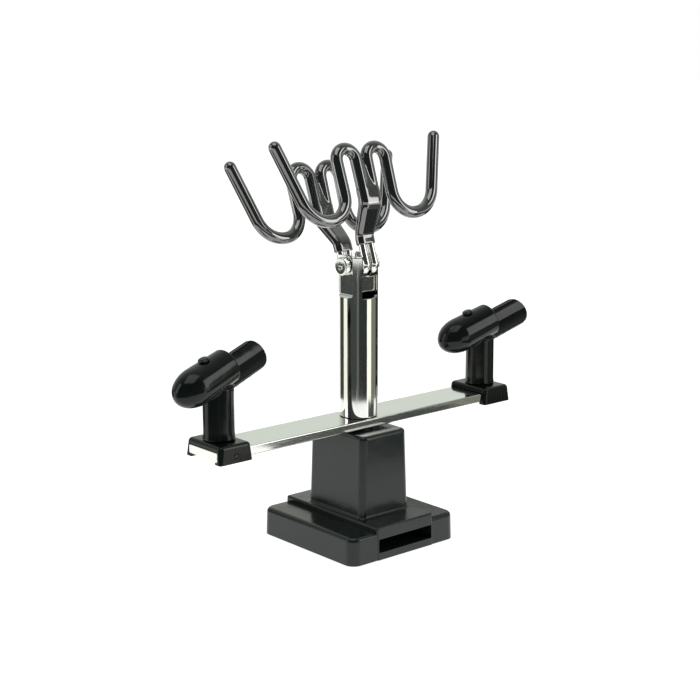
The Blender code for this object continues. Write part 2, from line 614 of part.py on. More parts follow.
def build_holster(label, x):
    turn = Matrix.Rotation(math.radians(HOLSTER_TURN_DEG[label]), 4, "Z")
    upright = Matrix.Translation((x * MM, 0, 0)) @ turn
    tilt = Matrix.Rotation(math.radians(-HOLSTER_TILT_DEG), 4, "Y")
    tilted = upright @ Matrix.Translation((0, 0, HOLSTER_AXIS_Z * MM)) @ tilt
    rolled = tilted @ Matrix.Translation((0, TONGUE_SHIFT[0] * MM, TONGUE_SHIFT[1] * MM)) @ Matrix.Rotation(
        math.radians(TONGUE_ROLL_DEG), 4, "X")

    post_profile = [(POST_R + 0.1, SLIDER_Z[1] + GAP), (POST_R + 0.3, SLIDER_Z[1] + 0.8), (POST_R, 80.0),
                    (POST_R - 0.1, POST_TOP_Z - 0.6), (POST_R - 0.7, POST_TOP_Z), (6.6, POST_TOP_Z), (6.4, 108.6)]
    holster = lathe(f"holster_{label}", post_profile, "black_holster", segments=36)
    holster.matrix_world = upright

    bm = bmesh.new()
    loft(bm, sleeve_rings())
    sleeve = finish_mesh(f"sleeve_{label}", bm, None, CUTTERS)
    sleeve.matrix_world = tilted

    bm = bmesh.new()
    rings = []
    for s, scale in ((TONGUE_ROOT_S, 1.0), (TONGUE_TAPER_S, 0.99), (TONGUE_S + 3.0, 0.96)):
        ring = []
        for index in range(15):
            angle = (index / 7 - 1) * math.asin(TONGUE_HALF / TONGUE_ARC_R)
            ring.append((s, scale * TONGUE_ARC_R * math.sin(angle),
                         scale * (TONGUE_ARC_Z - TONGUE_ARC_R * math.cos(angle))))
        rings.append(ring)
    loft(bm, rings)
    tongue = finish_mesh(f"tongue_{label}", bm, None, CUTTERS)
    tongue.matrix_world = rolled

    bm = bmesh.new()
    tip_length = TONGUE_S - TONGUE_TAPER_S
    outline = [(-40.0, -20.0), (TONGUE_TAPER_S, -9.0)]
    for index in range(1, 12):
        angle = math.radians(-90 + 15 * index)
        outline.append((TONGUE_TAPER_S + tip_length * math.cos(angle), 9.0 * math.sin(angle)))
    outline += [(TONGUE_TAPER_S, 9.0), (-40.0, 20.0)]
    loft(bm, [[(s, w, z) for s, w in outline] for z in (-60.0, 30.0)])
    plan = finish_mesh(f"tongue_plan_{label}", bm, None, CUTTERS)
    plan.matrix_world = rolled

    bore_profile = [(0, -24.0), (3.4, -23.3), (5.8, -21.2), (HOLSTER_BORE_R - 0.1, -17.5),
                    (HOLSTER_BORE_R, -13.0), (HOLSTER_BORE_R, MOUTH_S + 0.4)]
    bore = lathe(f"bore_{label}", bore_profile, collection=CUTTERS, axis="X", segments=28)
    bore.matrix_world = tilted
    trough = rod(f"trough_{label}", TROUGH_ARC_R, MOUTH_S + 0.1, 50.0, collection=CUTTERS, axis="X",
                 centre=(0.0, TONGUE_ARC_Z), segments=48)
    trough.matrix_world = rolled
    button_way = rod(f"button_way_{label}", 1.5, 5.0, 12.0, collection=CUTTERS, centre=(BUTTON_S, 0.0), segments=16)
    button_way.matrix_world = tilted
    pivot_way = rod(f"pivot_way_{label}", SCREW_R + GAP, 70.0, 90.0, collection=CUTTERS, segments=20)
    pivot_way.matrix_world = upright

    combine(tongue, plan, "INTERSECT")
    add(sleeve, tongue)
    add(holster, sleeve)
    cut(holster, button_way, pivot_way, bore, trough)

    button_profile = [(1.2, 7.5), (1.2, BUTTON_SEAT), (3.2, BUTTON_SEAT), (3.2, BUTTON_SEAT + 0.6),
                      (2.5, BUTTON_SEAT + 1.1), (1.3, BUTTON_SEAT + 1.4)]
    button = lathe(f"sleeve_button_{label}", button_profile, "black_plastic", centre=(BUTTON_S, 0.0, 0.0),
                   segments=20)
    button.matrix_world = tilted


build_base_housing()
build_underside()
build_crossbar()
build_bolt()
build_post_tube()
build_clamp_screw()
build_hanger()
for side_label, side_x, side_turned in (("left", -SLIDER_X, False), ("right", SLIDER_X, True)):
    build_slider(side_label, side_x, side_turned)
    build_holster(side_label, side_x)
bpy.context.view_layer.update()
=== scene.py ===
"""Looks for the bench tool holder stand.

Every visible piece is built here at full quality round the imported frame, in
millimetres, and scaled to metres. The origin is the middle of the base's
underside, +X runs along the crossbar and -Y is the side with the socket.
"""

import json
import math

import bmesh
import bpy
from mathutils import Matrix, Vector


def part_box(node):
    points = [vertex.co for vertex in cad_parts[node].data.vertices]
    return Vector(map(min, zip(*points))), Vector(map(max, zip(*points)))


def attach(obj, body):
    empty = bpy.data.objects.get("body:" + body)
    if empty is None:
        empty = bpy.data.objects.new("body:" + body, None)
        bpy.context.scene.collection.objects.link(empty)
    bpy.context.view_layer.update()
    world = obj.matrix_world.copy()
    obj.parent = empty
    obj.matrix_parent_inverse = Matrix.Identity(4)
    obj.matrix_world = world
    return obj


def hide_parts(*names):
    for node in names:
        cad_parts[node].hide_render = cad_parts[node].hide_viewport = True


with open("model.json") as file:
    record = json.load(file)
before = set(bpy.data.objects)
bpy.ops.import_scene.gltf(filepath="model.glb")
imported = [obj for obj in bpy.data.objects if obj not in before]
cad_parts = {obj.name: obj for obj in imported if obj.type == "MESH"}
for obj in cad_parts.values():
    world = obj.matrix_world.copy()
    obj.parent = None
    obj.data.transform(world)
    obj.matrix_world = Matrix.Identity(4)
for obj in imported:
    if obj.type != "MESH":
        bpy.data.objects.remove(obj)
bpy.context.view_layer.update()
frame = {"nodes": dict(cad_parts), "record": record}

MM = 0.001

# ---- sizes worked out from the frame ---------------------------------------


def node_box(node):
    """Lowest and highest corner of a CAD node in millimetres."""
    low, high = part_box(node)
    return Vector(low) / MM, Vector(high) / MM


def joint_place(name):
    for joint in frame["record"]["behaviour"]["joints"]:
        if joint["name"] == name:
            return Vector(joint["pos_m"]) / MM
    raise ValueError(name)


BASE_LOW, BASE_HIGH = node_box("base_housing")
BAR_LOW, BAR_HIGH = node_box("crossbar")
TUBE_LOW, TUBE_HIGH = node_box("post_tube")
NUT_LOW, NUT_HIGH = node_box("clamp_nut")
WASHER_LOW, WASHER_HIGH = node_box("bar_washer")
SCREW_LOW, SCREW_HIGH = node_box("clamp_screw")
BLOCK_LOW, BLOCK_HIGH = node_box("slider_block_left")
PIVOT_Z = joint_place("hanger_tilt").z
HOLSTER_PLACE = {
    "left": joint_place("holster_left_swivel"),
    "right": joint_place("holster_right_swivel"),
}

# Base
BASE_SIZE = (78.0, 80.0)
PLATE_TOP = 16.3
RIB_WIDTH = 42.0
RIB_TOP = 19.2
TOWER_FOOT = (36.0, 47.5)
TOWER_HEAD = (33.4, 46.2)
TOWER_TOP = BASE_HIGH.z
SOCKET_HALF_X = 19.8
SOCKET_Z = (4.7, 12.4)
SOCKET_END_Y = -12.0

# Tube
TUBE_R = TUBE_HIGH.y
TUBE_BORE_R = 9.2
FLAT_X = 9.0
FLAT_INNER_X = 7.3
FLAT_HALF_Y = 6.9
FLAT_BOTTOM = 140.8
SLOT_HALF_X = 5.5
SLOT_BOTTOM = 140.3

# Hanger, in its own frame with the origin on the clamp screw's axis
REST_TILT_DEG = -18.6
WIRE_R = 2.1
WIRE_HALF_PITCH = 2.95
LEG_Y = 10.0
WIRE_LOW_Z = -5.4
COAT_R = 3.5
COAT_END_Z = 9.2
STEM_FOOT = (6.0, 3.05)
STEM_HEAD = (7.25, 3.6)
HOOK_ROOT_X = 3.6
WEB_TOP_Z = 55.5
HOOK_Y = 20.9
PEAK_X = (4.0, 17.7)
PEAK_Z = 61.1
HOOK_LOW_Z = 22.4
HOOK_KNEE_X = 43.2
HOOK_TIP = (58.7, 67.7)
SCREW_R = 2.0
SCREW_HEAD_R = 5.2

# Sliders and holsters
SLIDER_HALF = (10.5, 15.3)
POST_R = 8.45
POST_TOP = 104.0
HOLSTER_TILT_DEG = 17.5
HOLSTER_AXIS_Z = 112.0
HOLSTER_TURN_DEG = {"left": 9.0, "right": -6.0}
SLEEVE_R = 10.3
MOUTH_R = 9.6
HOLSTER_BORE_R = 6.9
NOSE_S = -31.5
NOSE_LENGTH = 15.0
MOUTH_S = 7.2
TONGUE_S = 38.6
TONGUE_TAPER_S = 24.5
TONGUE_HALF = 8.8
TONGUE_ARC_R = 12.0
TROUGH_ARC_R = 10.9
TONGUE_ARC_Z = math.sqrt(TONGUE_ARC_R ** 2 - TONGUE_HALF ** 2)
TONGUE_SHIFT = (1.5, -4.9)
TONGUE_ROLL_DEG = 58.0
TONGUE_ROOT_S = 1.0
BUTTON_S = -7.2
BUTTON_SEAT = 10.4


# ---- materials -------------------------------------------------------------

def surface(name, color, second, roughness, grain=(400.0, 0.0), stretch=(1.0, 1.0, 1.0), metallic=0.0,
            coat=0.0, coat_ior=1.5, specular=0.5, waves=(0.0, 0.0), scuffs=0.0):
    """Procedural surface: mottled colour, uneven gloss, fine grain and slow waviness.

    roughness is (lowest, highest); grain and waves are (scale per metre, bump strength).
    """
    material = bpy.data.materials.new(name)
    material.use_nodes = True
    nodes = material.node_tree.nodes
    links = material.node_tree.links
    shader = nodes["Principled BSDF"]
    shader.inputs["Metallic"].default_value = metallic
    shader.inputs["Coat Weight"].default_value = coat
    shader.inputs["Coat Roughness"].default_value = 0.04
    shader.inputs["Coat IOR"].default_value = coat_ior
    shader.inputs["Specular IOR Level"].default_value = specular

    place = nodes.new("ShaderNodeTexCoord")
    mapping = nodes.new("ShaderNodeMapping")
    mapping.inputs["Scale"].default_value = stretch
    links.new(place.outputs["Object"], mapping.inputs["Vector"])

    mottle = nodes.new("ShaderNodeTexNoise")
    mottle.inputs["Scale"].default_value = 90.0
    mottle.inputs["Detail"].default_value = 6.0
    mottle.inputs["Roughness"].default_value = 0.6
    links.new(mapping.outputs["Vector"], mottle.inputs["Vector"])

    tint = nodes.new("ShaderNodeMix")
    tint.data_type = "RGBA"
    tint.inputs["A"].default_value = (*color, 1.0)
    tint.inputs["B"].default_value = (*second, 1.0)
    links.new(mottle.outputs["Fac"], tint.inputs["Factor"])
    base_color = tint.outputs["Result"]

    gloss = nodes.new("ShaderNodeMapRange")
    gloss.inputs["From Min"].default_value = 0.3
    gloss.inputs["From Max"].default_value = 0.7
    gloss.inputs["To Min"].default_value = roughness[0]
    gloss.inputs["To Max"].default_value = roughness[1]
    links.new(mottle.outputs["Fac"], gloss.inputs["Value"])
    gloss_value = gloss.outputs["Result"]

    if scuffs:
        scratch = nodes.new("ShaderNodeTexNoise")
        scratch.inputs["Scale"].default_value = 700.0
        scratch.inputs["Detail"].default_value = 3.0
        scratch.inputs["Distortion"].default_value = 1.5
        links.new(mapping.outputs["Vector"], scratch.inputs["Vector"])
        threshold = nodes.new("ShaderNodeMapRange")
        threshold.inputs["From Min"].default_value = 0.64
        threshold.inputs["From Max"].default_value = 0.72
        threshold.inputs["To Min"].default_value = 0.0
        threshold.inputs["To Max"].default_value = scuffs
        links.new(scratch.outputs["Fac"], threshold.inputs["Value"])
        add_scuff = nodes.new("ShaderNodeMath")
        add_scuff.operation = "ADD"
        links.new(gloss_value, add_scuff.inputs[0])
        links.new(threshold.outputs["Result"], add_scuff.inputs[1])
        gloss_value = add_scuff.outputs["Value"]

    normal = None
    for scale, strength in (grain, waves):
        if not strength:
            continue
        texture = nodes.new("ShaderNodeTexNoise")
        texture.inputs["Scale"].default_value = scale
        texture.inputs["Detail"].default_value = 2.0
        links.new(mapping.outputs["Vector"], texture.inputs["Vector"])
        bump = nodes.new("ShaderNodeBump")
        bump.inputs["Strength"].default_value = strength
        bump.inputs["Distance"].default_value = 0.15 / scale
        links.new(texture.outputs["Fac"], bump.inputs["Height"])
        if normal:
            links.new(normal, bump.inputs["Normal"])
        normal = bump.outputs["Normal"]
    links.new(base_color, shader.inputs["Base Color"])
    links.new(gloss_value, shader.inputs["Roughness"])
    if normal:
        links.new(normal, shader.inputs["Normal"])
    return material


HOUSING = surface("moulded_black", (0.008, 0.012, 0.011), (0.012, 0.018, 0.016), (0.17, 0.26),
                  grain=(1500.0, 0.08), waves=(60.0, 0.06), specular=0.42, scuffs=0.04)
HOLSTER = surface("polished_black", (0.004, 0.006, 0.006), (0.007, 0.010, 0.009), (0.10, 0.17),
                  grain=(1200.0, 0.03), waves=(70.0, 0.05), specular=0.3, scuffs=0.03)
COATING = surface("dipped_black", (0.003, 0.004, 0.005), (0.005, 0.007, 0.007), (0.05, 0.10),
                  waves=(110.0, 0.10), coat=1.0, coat_ior=2.3)
CHROME = surface("bright_plating", (0.86, 0.86, 0.82), (0.80, 0.81, 0.78), (0.04, 0.09),
                 grain=(500.0, 0.03), stretch=(1.0, 1.0, 0.12), metallic=1.0, scuffs=0.06)
BAR_CHROME = surface("rolled_plating", (0.84, 0.85, 0.81), (0.78, 0.80, 0.76), (0.06, 0.14),
                     grain=(420.0, 0.05), stretch=(0.12, 1.0, 1.0), metallic=1.0, waves=(60.0, 0.12),
                     scuffs=0.08)
WIRE_CHROME = surface("wire_plating", (0.88, 0.88, 0.86), (0.82, 0.82, 0.80), (0.05, 0.12),
                      grain=(800.0, 0.05), metallic=1.0, scuffs=0.06)
ZINC = surface("zinc_plating", (0.58, 0.58, 0.56), (0.46, 0.47, 0.46), (0.25, 0.42),
               grain=(900.0, 0.12), metallic=1.0, scuffs=0.15)
IRON = surface("raw_iron", (0.16, 0.15, 0.15), (0.24, 0.20, 0.17), (0.5, 0.75),
               grain=(500.0, 0.4), metallic=1.0)
COVER = surface("matt_black", (0.022, 0.022, 0.022), (0.034, 0.034, 0.033), (0.5, 0.65), grain=(1200.0, 0.25))
RUBBER = surface("pad_rubber", (0.018, 0.018, 0.018), (0.032, 0.031, 0.030), (0.7, 0.9), grain=(1400.0, 0.45))
NYLON = surface("natural_nylon", (0.72, 0.70, 0.64), (0.78, 0.77, 0.72), (0.4, 0.55), grain=(900.0, 0.1))


# ---- building blocks -------------------------------------------------------

def finish_mesh(name, bm, matrix=None):
    """Turn a bmesh in millimetres into an object in metres."""
    bmesh.ops.scale(bm, vec=(MM, MM, MM), verts=bm.verts)
    bmesh.ops.recalc_face_normals(bm, faces=bm.faces)
    mesh = bpy.data.meshes.new(name)
    bm.to_mesh(mesh)
    bm.free()
    item = bpy.data.objects.new(name, mesh)
    bpy.context.scene.collection.objects.link(item)
    if matrix is not None:
        item.matrix_world = matrix
    return item


def rounded_outline(half_x, half_y, radius, steps=8):
    """Corner points of a rounded rectangle, counter-clockwise."""
    points = []
    corners = ((1, 1, 0), (-1, 1, 90), (-1, -1, 180), (1, -1, 270))
    for sign_x, sign_y, start in corners:
        centre_x = sign_x * (half_x - radius)
        centre_y = sign_y * (half_y - radius)
        for step in range(steps + 1):
            angle = math.radians(start + 90.0 * step / steps)
            points.append((centre_x + radius * math.cos(angle), centre_y + radius * math.sin(angle)))
    return points


def loft(bm, rings):
    """Skin a list of equal-length point rings and cap both ends."""
    rows = [[bm.verts.new(point) for point in ring] for ring in rings]
    count = len(rows[0])
    for low, high in zip(rows, rows[1:]):
        for index in range(count):
            following = (index + 1) % count
            bm.faces.new((low[index], low[following], high[following], high[index]))
    bm.faces.new(list(reversed(rows[0])))
    bm.faces.new(rows[-1])


def rounded_block(name, levels, steps=8):
    """Block from levels of (z, half_x, half_y, corner_radius)."""
    bm = bmesh.new()
    rings = []
    for z, half_x, half_y, radius in levels:
        rings.append([(x, y, z) for x, y in rounded_outline(half_x, half_y, radius, steps)])
    loft(bm, rings)
    return finish_mesh(name, bm)


def soft_top(low_z, top_z, foot, head, corner, round_r, steps=8):
    """Levels of a tapered block whose top edge is rounded over."""
    levels = [(low_z, foot[0] / 2, foot[1] / 2, corner)]
    for step in range(steps + 1):
        angle = math.radians(90.0 * step / steps)
        inset = round_r * (1 - math.cos(angle))
        level_z = top_z - round_r + round_r * math.sin(angle)
        levels.append((level_z, head[0] / 2 - inset, head[1] / 2 - inset, max(corner - inset, 0.4)))
    return levels


def lathe(name, profile, axis="Z", centre=(0.0, 0.0, 0.0), segments=64):
    """Solid of revolution from (radius, height) pairs; radius 0 closes an end."""
    bm = bmesh.new()
    rows = []
    for radius, height in profile:
        count = 1 if radius == 0 else segments
        row = []
        for index in range(count):
            angle = 2 * math.pi * index / segments
            row.append(bm.verts.new((radius * math.cos(angle), radius * math.sin(angle), height)))
        rows.append(row)
    for low, high in zip(rows, rows[1:]):
        for index in range(segments):
            following = (index + 1) % segments
            corners = []
            for corner in (low[index % len(low)], low[following % len(low)],
                           high[following % len(high)], high[index % len(high)]):
                if corner not in corners:
                    corners.append(corner)
            bm.faces.new(corners)
    for row in (rows[0], rows[-1]):
        if len(row) > 1:
            bm.faces.new(row)
    if axis == "X":
        bmesh.ops.rotate(bm, verts=bm.verts, matrix=Matrix.Rotation(math.radians(90), 3, "Y"))
    if axis == "Y":
        bmesh.ops.rotate(bm, verts=bm.verts, matrix=Matrix.Rotation(math.radians(-90), 3, "X"))
    bmesh.ops.translate(bm, verts=bm.verts, vec=centre)
    return finish_mesh(name, bm)


def box(name, low, high, bevel=0.0, segments=4):
    bm = bmesh.new()
    bmesh.ops.create_cube(bm, size=1.0)
    bmesh.ops.scale(bm, vec=[high[i] - low[i] for i in range(3)], verts=bm.verts)
    bmesh.ops.translate(bm, vec=[(high[i] + low[i]) / 2 for i in range(3)], verts=bm.verts)
    item = finish_mesh(name, bm)
    if bevel:
        edge = item.modifiers.new("edge", "BEVEL")
        edge.width = bevel * MM
        edge.segments = segments
        edge.limit_method = "ANGLE"
    return item


def combine(target, tools, operation):
    """Boolean the tools into the target one by one, and drop them."""
    for tool in tools:
        step = target.modifiers.new(operation, "BOOLEAN")
        step.operation = operation
        step.solver = "EXACT"
        step.object = tool
    settle(target)
    for tool in tools:
        bpy.data.objects.remove(tool, do_unlink=True)
    return target


def settle(item):
    """Replace an object's mesh by the result of its modifiers."""
    bpy.context.view_layer.update()
    mesh = bpy.data.meshes.new_from_object(item.evaluated_get(bpy.context.evaluated_depsgraph_get()))
    item.modifiers.clear()
    item.data = mesh
    mesh.name = item.name


def soften_edges(item, width, segments=2, angle=40.0):
    edge = item.modifiers.new("edge", "BEVEL")
    edge.width = width * MM
    edge.segments = segments
    edge.limit_method = "ANGLE"
    edge.angle_limit = math.radians(angle)
    edge.use_clamp_overlap = True
    settle(item)


def melt(item, voxel, passes):
    """Blend joined bodies into one skin, the way a dipped or cast surface flows together."""
    skin = item.modifiers.new("skin", "REMESH")
    skin.mode = "VOXEL"
    skin.voxel_size = voxel * MM
    smooth = item.modifiers.new("flow", "SMOOTH")
    smooth.iterations = passes
    smooth.factor = 0.5
    settle(item)


def bake_place(item):
    """Move the object's transform into its vertices."""
    item.data.transform(item.matrix_world)
    item.matrix_world = Matrix.Identity(4)


def stand_for(item, node, material, sharp=32.0):
    """Dress a finished piece, and let it stand for a CAD node."""
    record = frame["record"]
    body = next(name for name, members in record["behaviour"]["bodies"].items() if node in members)
    bpy.context.view_layer.update()
    bake_place(item)
    item.data.materials.clear()
    item.data.materials.append(material)
    item.data.shade_smooth()
    if sharp:
        item.data.set_sharp_from_angle(angle=math.radians(sharp))
        weighted = item.modifiers.new("weighted", "WEIGHTED_NORMAL")
        weighted.keep_sharp = True
        weighted.weight = 80
    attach(item, body)
    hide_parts(node)


def dress(node, material):
    """Give a CAD node that stays its own material."""
    item = frame["nodes"][node]
    item.data.materials.clear()
    item.data.materials.append(material)


# ---- base ------------------------------------------------------------------

def make_base():
    housing = rounded_block("housing", soft_top(BASE_LOW.z, PLATE_TOP, BASE_SIZE,
                                                (BASE_SIZE[0] - 0.6, BASE_SIZE[1] - 0.6), 6.0, 2.6, 10))
    rib = rounded_block("rib", soft_top(BASE_LOW.z, RIB_TOP, (RIB_WIDTH + 0.4, BASE_SIZE[1] + 0.8),
                                        (RIB_WIDTH, BASE_SIZE[1]), 1.4, 1.2, 8))
    fillet = 1.6
    levels = [(RIB_TOP - 6.0, TOWER_FOOT[0] / 2 + 1.6, TOWER_FOOT[1] / 2 + 1.6, 5.6)]
    for step in range(9):
        angle = math.radians(90.0 * step / 8)
        flare = fillet * (1 - math.sin(angle))
        levels.append((RIB_TOP - 0.02 + fillet * (1 - math.cos(angle)), TOWER_FOOT[0] / 2 + flare,
                       TOWER_FOOT[1] / 2 + flare, 4.0 + flare))
    levels += soft_top(0.0, TOWER_TOP, TOWER_FOOT, TOWER_HEAD, 4.0, 2.2, 10)[1:]
    tower = rounded_block("tower", levels, 10)
    combine(housing, [rib, tower], "UNION")
    recess = rounded_block("recess", [(-2.0, 36.5, 37.5, 2.0), (3.5, 36.5, 37.5, 2.0)])
    socket = box("socket", (-SOCKET_HALF_X, -45.0, SOCKET_Z[0]), (SOCKET_HALF_X, SOCKET_END_Y, SOCKET_Z[1]),
                 bevel=0.5)
    bolt_hole = lathe("bolt_hole", [(3.3, 55.0), (3.3, 70.0)])
    combine(housing, [recess, socket, bolt_hole], "DIFFERENCE")
    stand_for(housing, "base_housing", HOUSING)


# ---- crossbar and tube -----------------------------------------------------

def make_crossbar():
    """Flat bar with drawn edges: each long side is a slightly crowned face."""
    half_width = BAR_HIGH.y
    middle = (BAR_LOW.z + BAR_HIGH.z) / 2
    half_height = (BAR_HIGH.z - BAR_LOW.z) / 2
    corner = 0.6
    edge_crown = 0.16
    outline = []
    for y, z in rounded_outline(half_width, half_height, corner, 6):
        crown = edge_crown * (1 - (z / half_height) ** 2) if abs(y) > half_width - corner else 0.0
        outline.append((y - math.copysign(edge_crown, y) + math.copysign(crown, y), z + middle))
    bm = bmesh.new()
    rings = []
    for x, inset in ((BAR_LOW.x, 0.5), (BAR_LOW.x + 0.15, 0.2), (BAR_LOW.x + 0.5, 0.0),
                     (BAR_HIGH.x - 0.5, 0.0), (BAR_HIGH.x - 0.15, 0.2), (BAR_HIGH.x, 0.5)):
        ring = []
        for y, z in outline:
            ring.append((x, y * (1 - inset / half_width), middle + (z - middle) * (1 - inset / half_height)))
        rings.append(ring)
    loft(bm, rings)
    bar = finish_mesh("bar", bm)
    combine(bar, [lathe("bar_hole", [(3.3, 60.0), (3.3, 80.0)])], "DIFFERENCE")
    stand_for(bar, "crossbar", BAR_CHROME)

    radius = WASHER_HIGH.x
    profile = [(radius - 0.15, WASHER_LOW.z), (radius, WASHER_LOW.z + 0.15), (radius, WASHER_HIGH.z - 0.15),
               (radius - 0.15, WASHER_HIGH.z)]
    washer = lathe("washer", profile)
    combine(washer, [lathe("washer_hole", [(3.3, 60.0), (3.3, 70.0)])], "DIFFERENCE")
    stand_for(washer, "bar_washer", ZINC)


def make_tube():
    low, high = TUBE_LOW.z, TUBE_HIGH.z
    profile = [(TUBE_R - 0.35, low), (TUBE_R - 0.1, low + 0.1), (TUBE_R, low + 0.35), (TUBE_R, high - 1.0),
               (TUBE_R - 0.12, high - 0.55), (TUBE_R - 0.4, high - 0.2), (TUBE_R - 0.8, high)]
    tube = lathe("tube", profile, segments=160)
    low_bore = lathe("low_bore", [(TUBE_BORE_R, 70.0), (TUBE_BORE_R, 139.2)], segments=96)
    bm = bmesh.new()
    rings = []
    for z in (139.0, 170.0):
        ring = []
        for index in range(96):
            angle = 2 * math.pi * index / 96
            x = max(-FLAT_INNER_X, min(FLAT_INNER_X, TUBE_BORE_R * math.cos(angle)))
            ring.append((x, TUBE_BORE_R * math.sin(angle), z))
        rings.append(ring)
    loft(bm, rings)
    tools = [low_bore, finish_mesh("head_bore", bm)]
    for side in (-1, 1):
        low_x, high_x = sorted((side * FLAT_X, side * 14.0))
        tools.append(box("flat", (low_x, -FLAT_HALF_Y, FLAT_BOTTOM), (high_x, FLAT_HALF_Y, 172.0), bevel=2.0))
    tools.append(box("slot", (-SLOT_HALF_X, -14.0, SLOT_BOTTOM), (SLOT_HALF_X, 14.0, 175.0), bevel=1.5))
    tools.append(lathe("screw_hole", [(SCREW_R + 0.3, -14.0), (SCREW_R + 0.3, 14.0)], axis="X",
                       centre=(0.0, 0.0, PIVOT_Z)))
    combine(tube, tools, "DIFFERENCE")
    stand_for(tube, "post_tube", CHROME, sharp=25.0)


def make_clamp_hardware():
    """Knurled screw head with a hexagon recess, its shank, and the nut on the far side."""
    outer, inner = SCREW_LOW.x, SCREW_LOW.x + 4.0
    ridges = 30
    rings = []
    for x, scale, depth in ((outer, 0.80, 0.0), (outer + 0.25, 0.88, 0.3), (outer + 0.7, 0.98, 1.0),
                            (outer + 1.0, 1.0, 1.0), (inner - 0.7, 1.0, 1.0), (inner - 0.3, 0.97, 0.8),
                            (inner, 0.88, 0.0)):
        ring = []
        for index in range(ridges * 4):
            angle = 2 * math.pi * index / (ridges * 4)
            dip = 0.30 * depth * (0.5 - 0.5 * math.cos(angle * ridges))
            radius = scale * SCREW_HEAD_R - dip
            ring.append((x, radius * math.cos(angle), radius * math.sin(angle)))
        rings.append(ring)
    bm = bmesh.new()
    loft(bm, rings)
    head = finish_mesh("knurled_screw", bm, Matrix.Translation((0, 0, PIVOT_Z * MM)))
    shank = lathe("shank", [(SCREW_R, inner - 1.0), (SCREW_R, 14.1), (SCREW_R - 0.5, SCREW_HIGH.x)], axis="X",
                  centre=(0.0, 0.0, PIVOT_Z))
    combine(head, [shank], "UNION")
    recess = lathe("recess", [(0.0, outer + 2.2), (2.0, outer + 1.9), (2.0, outer + 0.3), (2.4, outer - 0.2)],
                   axis="X", centre=(0.0, 0.0, PIVOT_Z), segments=6)
    combine(head, [recess], "DIFFERENCE")
    stand_for(head, "clamp_screw", CHROME, sharp=38.0)

    low, high = NUT_LOW.x, NUT_HIGH.x
    nut = lathe("nut", [(4.1, low), (4.7, low + 0.5), (4.7, high - 0.6), (4.0, high)], axis="X",
                centre=(0.0, 0.0, PIVOT_Z), segments=6)
    combine(nut, [lathe("nut_hole", [(SCREW_R + 0.3, 5.0), (SCREW_R + 0.3, 16.0)], axis="X",
                        centre=(0.0, 0.0, PIVOT_Z))], "DIFFERENCE")
    soften_edges(nut, 0.12)
    stand_for(nut, "clamp_nut", CHROME)


# ---- hanger ----------------------------------------------------------------

def rounded_path(corners, step_deg=5.0):
    """Points along straight runs joined by arcs; corners are (point, radius)."""
    points = [Vector(corners[0][0])]
    for before, (corner, radius), after in zip(corners, corners[1:], corners[2:]):
        corner = Vector(corner)
        incoming = (Vector(before[0]) - corner).normalized()
        outgoing = (Vector(after[0]) - corner).normalized()
        half_angle = incoming.angle(outgoing) / 2
        setback = radius / math.tan(half_angle)
        centre = corner + (incoming + outgoing).normalized() * (radius / math.sin(half_angle))
        start = corner + incoming * setback - centre
        turn = math.pi - 2 * half_angle
        normal = start.cross(corner + outgoing * setback - centre).normalized()
        steps = max(3, math.ceil(math.degrees(turn) / step_deg))
        for step in range(steps + 1):
            points.append(centre + Matrix.Rotation(turn * step / steps, 3, normal) @ start)
    points.append(Vector(corners[-1][0]))
    return points


def wire_body(name, points, radius, matrix, round_end=False):
    """Round bar along a path, as a closed mesh."""
    radii = [1.0] * len(points)
    if round_end:
        direction = (points[-1] - points[-2]).normalized()
        tip = points[-1]
        points = points[:-1]
        radii = radii[:-1]
        for angle in (0, 15, 30, 45, 60, 72, 82):
            points.append(tip + direction * radius * (math.sin(math.radians(angle)) - 1))
            radii.append(math.cos(math.radians(angle)))
    curve = bpy.data.curves.new(name, "CURVE")
    curve.dimensions = "3D"
    curve.bevel_depth = radius * MM
    curve.bevel_resolution = 8
    curve.use_fill_caps = True
    curve.twist_mode = "MINIMUM"
    spline = curve.splines.new("POLY")
    spline.points.add(len(points) - 1)
    for slot, point, scale in zip(spline.points, points, radii):
        slot.co = (*(point * MM), 1.0)
        slot.radius = scale
    path = bpy.data.objects.new(name + "_path", curve)
    bpy.context.scene.collection.objects.link(path)
    bpy.context.view_layer.update()
    mesh = bpy.data.meshes.new_from_object(path.evaluated_get(bpy.context.evaluated_depsgraph_get()))
    bpy.data.objects.remove(path, do_unlink=True)
    bm = bmesh.new()
    bm.from_mesh(mesh)
    bmesh.ops.remove_doubles(bm, verts=bm.verts, dist=0.00001)
    bmesh.ops.recalc_face_normals(bm, faces=bm.faces)
    bm.to_mesh(mesh)
    bm.free()
    item = bpy.data.objects.new(name, mesh)
    bpy.context.scene.collection.objects.link(item)
    item.matrix_world = matrix
    return item


def hook_path(side, face):
    """Centre line of one hook, from inside the shared stem to its tip."""
    hook_y = face * HOOK_Y
    return rounded_path([
        ((side * HOOK_ROOT_X, hook_y, 35.0), 0),
        ((side * PEAK_X[0], hook_y, PEAK_Z), 6.8),
        ((side * PEAK_X[1], hook_y, PEAK_Z), 6.8),
        ((side * (PEAK_X[1] - 0.7), hook_y, HOOK_LOW_Z), 13.0),
        ((side * HOOK_KNEE_X, hook_y, HOOK_LOW_Z), 17.0),
        ((side * HOOK_TIP[0], hook_y, HOOK_TIP[1]), 0),
    ])


